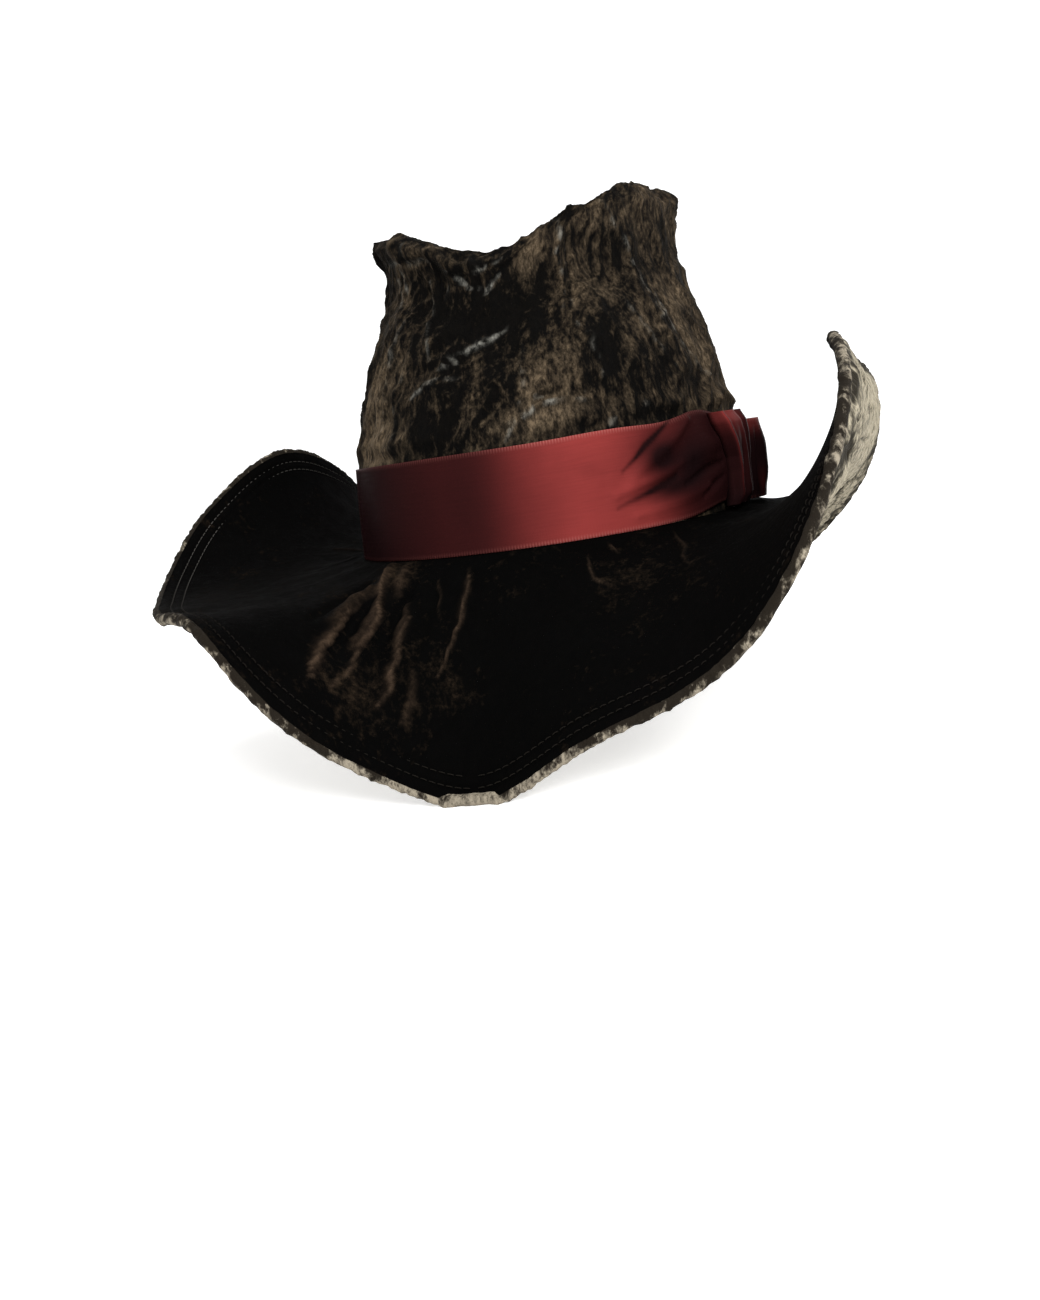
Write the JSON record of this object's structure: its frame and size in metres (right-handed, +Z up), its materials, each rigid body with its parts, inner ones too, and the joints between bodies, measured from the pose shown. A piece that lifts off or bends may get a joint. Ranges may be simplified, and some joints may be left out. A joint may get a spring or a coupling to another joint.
{
  "type": "fedora",
  "caption": "Soft crushed velvet hat with a creased tapering crown, a satin ribbon band tied at the wearer's left, and a wide brim rolled up at the sides.",
  "frame": {"origin": "centre of the bounding box's bottom face, on the surface that the brim rests on", "axes": "+Z up through the crown, -Y towards the hat's front, +X towards the wearer's left, where the ribbon is knotted"},
  "size_m": [0.331, 0.3452, 0.2256],
  "materials": {
    "crown": "crushed dark brown velvet",
    "brim_top": "near-black brown velvet",
    "brim_under": "velvet that catches the light as beige",
    "hatband": "burgundy satin ribbon",
    "band_knot": "burgundy satin ribbon",
    "band_loop": "burgundy satin ribbon"
  },
  "bodies": {
    "root": {"crown": "crown", "brim_top": "brim_top", "brim_under": "brim_under", "hatband": "hatband", "band_knot": "band_knot", "band_loop": "band_loop"}
  },
  "joints": []
}
